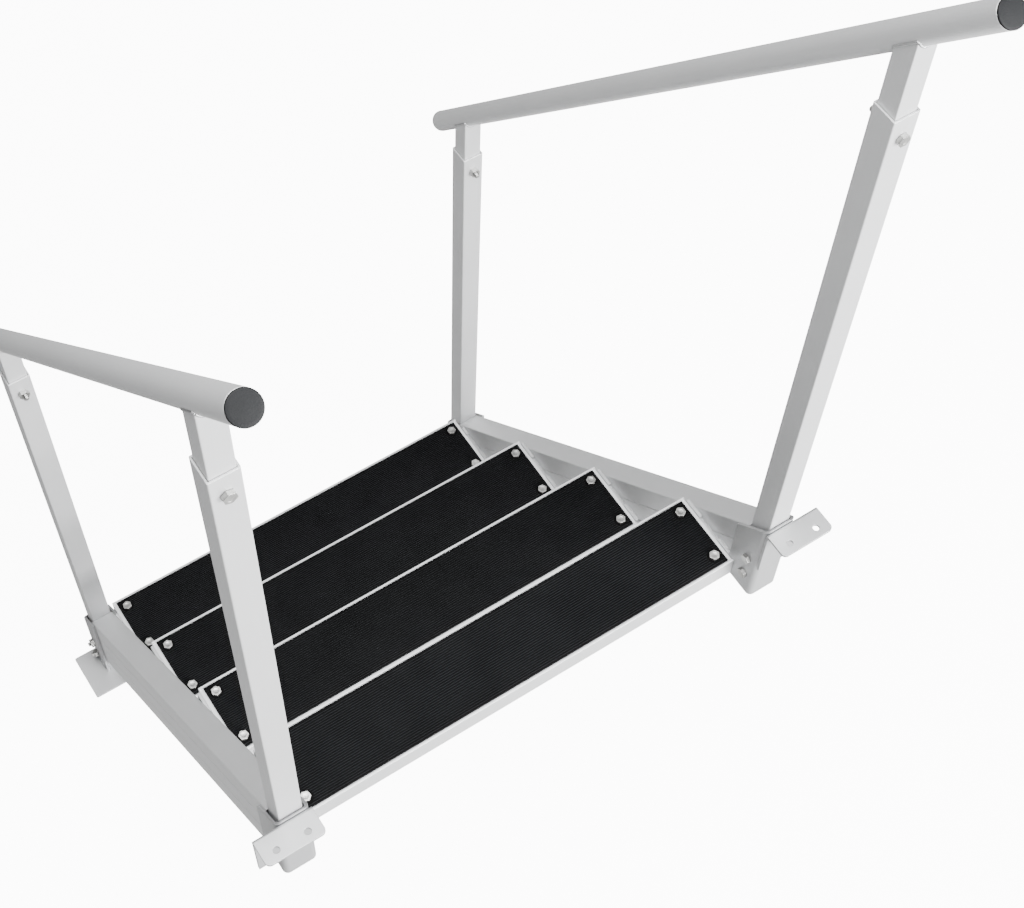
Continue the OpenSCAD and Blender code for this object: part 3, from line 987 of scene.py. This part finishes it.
class STAIR_OT_caps(bpy.types.Operator):
    """Moulded end caps for the handrails: round-edged discs, slightly domed, on a plug"""
    bl_idname = "stair.caps"
    bl_label = "Make end caps"

    def execute(self, context):
        plastic = cap_plastic()
        thick = sizes().cap_thickness
        model = bevelled(cylinder(RAIL_RADIUS, 0.0001, thick, 64), thick * CAP_ROUNDING, 3)
        pick_faces(model, lambda normal: normal.z > 0.99)
        for share in CAP_RINGS:
            bpy.ops.mesh.inset(thickness=RAIL_RADIUS * share, depth=0)
            bpy.ops.transform.translate(value=(0, 0, thick * CAP_DOME))
        leave_edit()
        plug = bevelled(cylinder(RAIL_RADIUS * PLUG_RADIUS, -PLUG_LENGTH, 0.0002), 0.001, 2)
        model = joined([model, plug], "cap_model")
        smooth_by_angle(model, 40)
        for side in SIDES:
            up = rail_direction(side)
            for end, out in (("top", up), ("foot", -up)):
                cap = copies(model, [(rail_end(side, out), facing(out))])
                finish_piece(cap, f"moulded_cap_{end}_{side}", plastic, HANDRAILS[side])
                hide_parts(f"rail_cap_{end}_{side}")
        remove(model)
        return {"FINISHED"}


class STAIR_OT_fasteners(bpy.types.Operator):
    """Zinc-plated bolts with dished hexagon heads and threads, their nuts and the post washers"""
    bl_idname = "stair.fasteners"
    bl_label = "Make fasteners"

    def execute(self, context):
        zinc = bright_zinc()
        for step in STEPS:
            set_bolts(f"tread_bolts_{step}", upwards, LONG_STUB, f"tread_bolt_set_{step}", zinc)
            set_nuts(f"tread_nuts_{step}", upwards, f"tread_nut_set_{step}", zinc)
        set_bolts("post_bolts", inwards, SHORT_STUB, "post_bolt_set", zinc)
        set_nuts("post_nuts", inwards, "post_nut_set", zinc)
        set_bolts("clamp_bolts", endwards, LONG_STUB, "clamp_bolt_set", zinc)
        set_nuts("clamp_nuts", endwards, "clamp_nut_set", zinc)
        assign("post_spacers", zinc)
        return {"FINISHED"}


class STAIR_OT_saddle_welds(bpy.types.Operator):
    """Weld beads where the telescoping tubes meet the handrails"""
    bl_idname = "stair.saddle_welds"
    bl_label = "Make saddle welds"

    def execute(self, context):
        metal = weld_metal()
        for side in SIDES:
            along = rail_direction(side)
            beads = []
            for end in ENDS:
                low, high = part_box(f"upper_tube_{end}_{side}")
                post = (low + high) / 2
                axis = centre("handrail_" + side)
                axis_point = axis + along * ((post.y - axis.y) / along.y)
                axis_point.x = post.x
                beads.append(bead_round(saddle_points(axis_point, (high.x - low.x) / 2),
                                        sizes().weld_width))
            piece = joined(beads, "saddle_weld_" + side)
            finish_piece(piece, "saddle_weld_" + side, metal, HANDRAILS[side])
        return {"FINISHED"}


class STAIR_OT_frame_welds(bpy.types.Operator):
    """Weld beads that hold the hangers, foot plates and tread ledges"""
    bl_idname = "stair.frame_welds"
    bl_label = "Make frame welds"

    def execute(self, context):
        metal, width = weld_metal(), sizes().weld_width
        for side, sign in (("left", -1), ("right", 1)):
            bracket_low, bracket_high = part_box("top_bracket_" + side)
            inset, above, below = HANGER_WELD
            front = bracket_low.y + width * FACE_PROUD
            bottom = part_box("hanger_" + side)[0].z + above
            beads = [straight_bead((x, front, bottom), (x, front, bracket_high.z - below), width)
                     for x in (bracket_low.x + inset, bracket_high.x - inset)]
            foot_low, foot_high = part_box("foot_bracket_" + side)
            outer = (foot_low if sign < 0 else foot_high).x + sign * width * SIDE_PROUD
            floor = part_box("foot_plate_" + side)[1].z + width * FACE_PROUD
            beads.append(straight_bead((outer, foot_low.y + PLATE_WELD[0], floor),
                                       (outer, foot_high.y - PLATE_WELD[1], floor), width))
            piece = joined(beads, "bracket_weld_" + side)
            finish_piece(piece, "bracket_weld_" + side, metal, ROOT)
            rows = []
            for step in STEPS:
                low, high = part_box(f"ledge_{side}_{step}")
                x = (low if sign < 0 else high).x - sign * width * SIDE_PROUD
                for start, end, depth in LEDGE_WELDS:
                    first = max(low.y + start, bracket_high.y + LEDGE_WELDS[0][0])
                    rows.append(straight_bead((x, first, high.z - depth),
                                              (x, low.y + end, high.z - depth),
                                              width * LEDGE_BEAD))
            piece = joined(rows, "ledge_weld_" + side)
            finish_piece(piece, "ledge_weld_" + side, metal, ROOT)
        return {"FINISHED"}


class STAIR_OT_studio(bpy.types.Operator):
    """Floor, softboxes, sky and camera"""
    bl_idname = "stair.studio"
    bl_label = "Set up the studio"

    def execute(self, context):
        add_floor()
        middle = (cad_low + cad_high) / 2
        add_softbox("key_softbox", KEY_PLACE, middle, KEY_SIZE, studio().key)
        add_softbox("fill_softbox", FILL_PLACE, middle, FILL_SIZE, studio().fill)
        set_sky()
        add_camera()
        return {"FINISHED"}


class STAIR_PT_panel(bpy.types.Panel):
    """Lists the steps that build the looks"""
    bl_idname = "STAIR_PT_panel"
    bl_label = "Stair"
    bl_space_type = "VIEW_3D"
    bl_region_type = "UI"
    bl_category = "Stair"

    def draw(self, context):
        for operator in OPERATORS:
            self.layout.operator(operator.bl_idname)
        for group in (sizes(), colours(), studio()):
            for name in group.__annotations__:
                self.layout.prop(group, name)


OPERATORS = (STAIR_OT_extrusions, STAIR_OT_sheet_parts, STAIR_OT_mats, STAIR_OT_caps,
             STAIR_OT_fasteners, STAIR_OT_saddle_welds, STAIR_OT_frame_welds, STAIR_OT_studio)
GROUPS = (("stair_sizes", StairSizes), ("stair_colours", StairColours),
          ("stair_studio", StudioSettings))


def register():
    for name, group in GROUPS:
        bpy.utils.register_class(group)
        setattr(bpy.types.Scene, name, bpy.props.PointerProperty(type=group))
    for each in (*OPERATORS, STAIR_PT_panel):
        bpy.utils.register_class(each)


def unregister():
    for each in (STAIR_PT_panel, *reversed(OPERATORS)):
        bpy.utils.unregister_class(each)
    for name, group in reversed(GROUPS):
        delattr(bpy.types.Scene, name)
        bpy.utils.unregister_class(group)


def main():
    register()
    bpy.ops.stair.extrusions()
    bpy.ops.stair.sheet_parts()
    bpy.ops.stair.mats()
    bpy.ops.stair.caps()
    bpy.ops.stair.fasteners()
    bpy.ops.stair.saddle_welds()
    bpy.ops.stair.frame_welds()
    bpy.ops.stair.studio()


if __name__ == "__main__":
    main()
